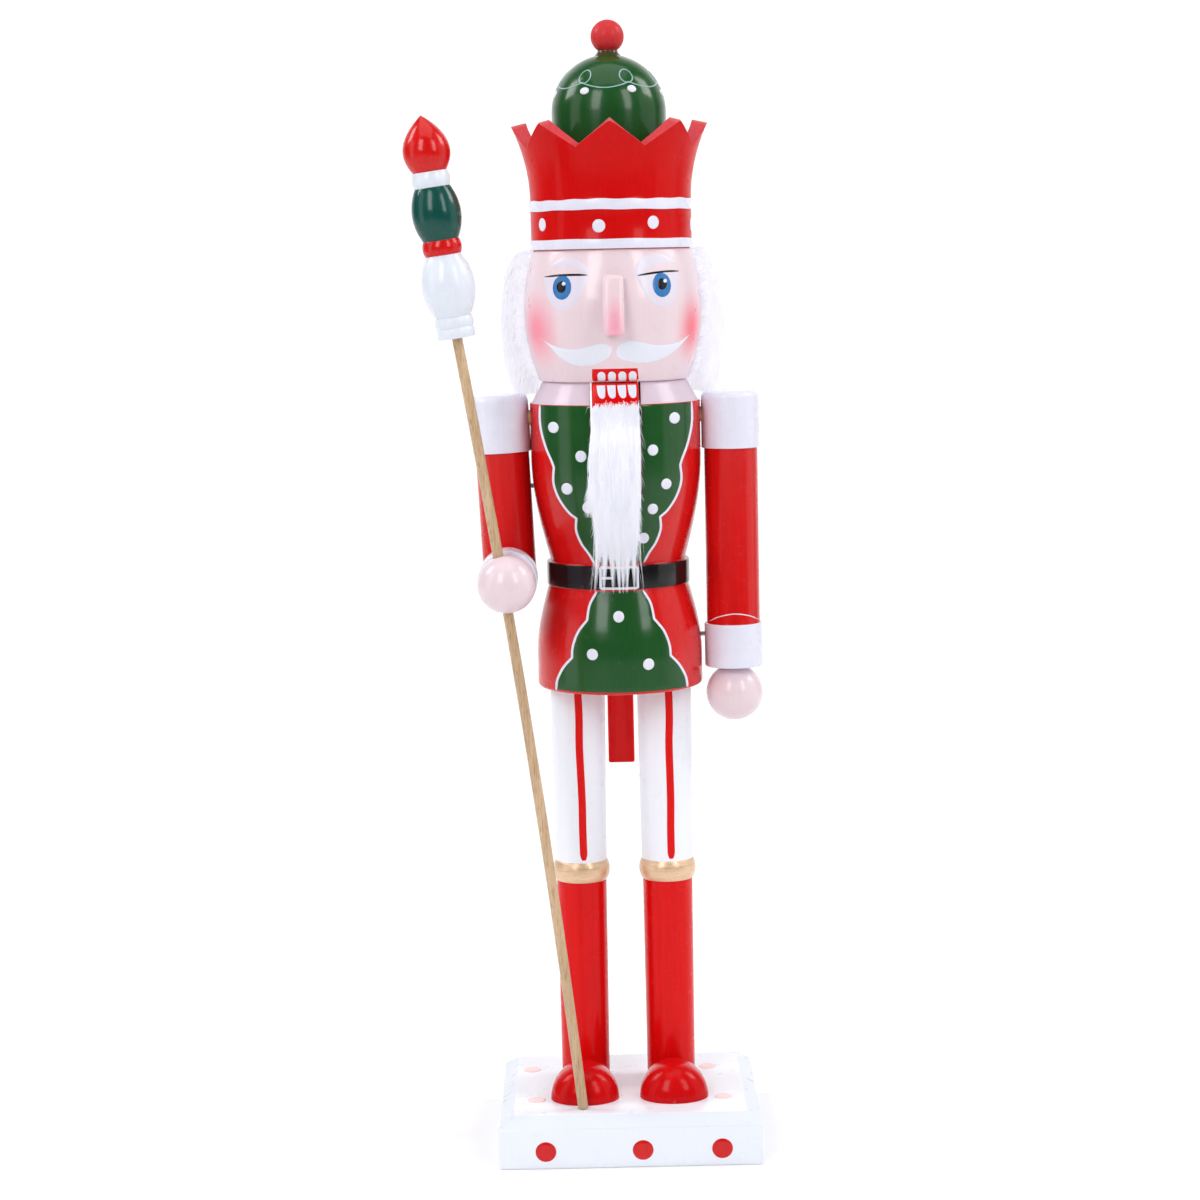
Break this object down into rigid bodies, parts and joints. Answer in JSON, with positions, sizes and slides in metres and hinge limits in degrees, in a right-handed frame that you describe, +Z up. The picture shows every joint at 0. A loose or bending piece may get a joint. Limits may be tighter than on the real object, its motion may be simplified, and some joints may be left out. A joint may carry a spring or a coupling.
{
  "type": "nutcracker figure",
  "caption": "Standing painted wooden nutcracker figure with a lever-worked jaw, fur beard and hair, a crown, a fixed arm on each side and a loose staff held in one hand.",
  "frame": {"origin": "centre of the base's flat underside, where the figure stands", "axes": "+Z up through the knob, -Y the way the figure faces, +X towards the figure's own left hand (the viewer's right)"},
  "size_m": [0.182, 0.1428, 0.6],
  "materials": {
    "white_paint": "gloss white paint on turned and sawn wood",
    "leg_paint": "gloss white trousers with a red stripe, gold knee bead and red boot, painted on wood",
    "boot_red": "high-gloss red paint on wood",
    "jacket_paint": "high-gloss red jacket with a green front, white piping, black belt and white collar, painted on wood",
    "jaw_red": "gloss red paint on wood, with white painted teeth",
    "face_paint": "satin skin-coloured paint on wood, with painted features",
    "crown_red": "high-gloss red paint on wood, with white bands and dots",
    "dome_green": "high-gloss green paint on wood, with a thin pale garland",
    "knob_red": "high-gloss red paint on wood",
    "sleeve_paint": "gloss red sleeve with white epaulette and cuff, painted on wood",
    "hand_paint": "gloss skin-coloured paint on wood",
    "staff_wood": "bare lacquered dowel",
    "finial_paint": "gloss red, white and green paint on one turning",
    "bare_wood": "bare birch dowel",
    "fur": "long white synthetic fur",
    "steel": "plain steel"
  },
  "bodies": {
    "figure": {"base": "white_paint", "leg_screws": "steel", "left_leg": "leg_paint", "right_leg": "leg_paint", "left_foot": "boot_red", "right_foot": "boot_red", "leg_dowels": "bare_wood", "torso": "jacket_paint", "jaw_pin": "steel", "neck_dowels": "bare_wood", "head": "face_paint", "nose": "face_paint", "hair": "fur", "crown": "crown_red", "crown_dowel": "bare_wood", "dome": "dome_green", "knob": "knob_red", "shoulder_dowels": "bare_wood", "arm_pins": "steel", "left_arm": "sleeve_paint", "left_hand": "hand_paint", "left_hand_dowel": "bare_wood", "right_upper_arm": "sleeve_paint", "elbow_dowel": "bare_wood", "right_forearm": "sleeve_paint", "right_hand": "hand_paint", "right_hand_dowel": "bare_wood"},
    "jaw": {"jaw_block": "jaw_red", "jaw_dowel": "bare_wood", "jaw_lever": "jaw_red"},
    "beard": {"beard": "fur"},
    "staff": {"staff_rod": "staff_wood", "staff_finial": "finial_paint"}
  },
  "joints": [
    {"name": "jaw_open", "type": "hinge", "parent": "figure", "child": "jaw", "pos_m": [0, 0.0055, 0.38], "axis": [1, 0, 0], "range_deg": [0, 20]},
    {"name": "beard_hang", "type": "hinge", "parent": "jaw", "child": "beard", "pos_m": [0, -0.0383, 0.399], "axis": [1, 0, 0], "range_deg": [-20, 0]},
    {"name": "staff_slide", "type": "slide", "parent": "figure", "child": "staff", "axis": [-0.1334, -0.0281, 0.9907], "range_m": [0, 0.12]}
  ],
  "couplings": [
    {"joint": "beard_hang", "follows": "jaw_open", "ratio": -1}
  ]
}
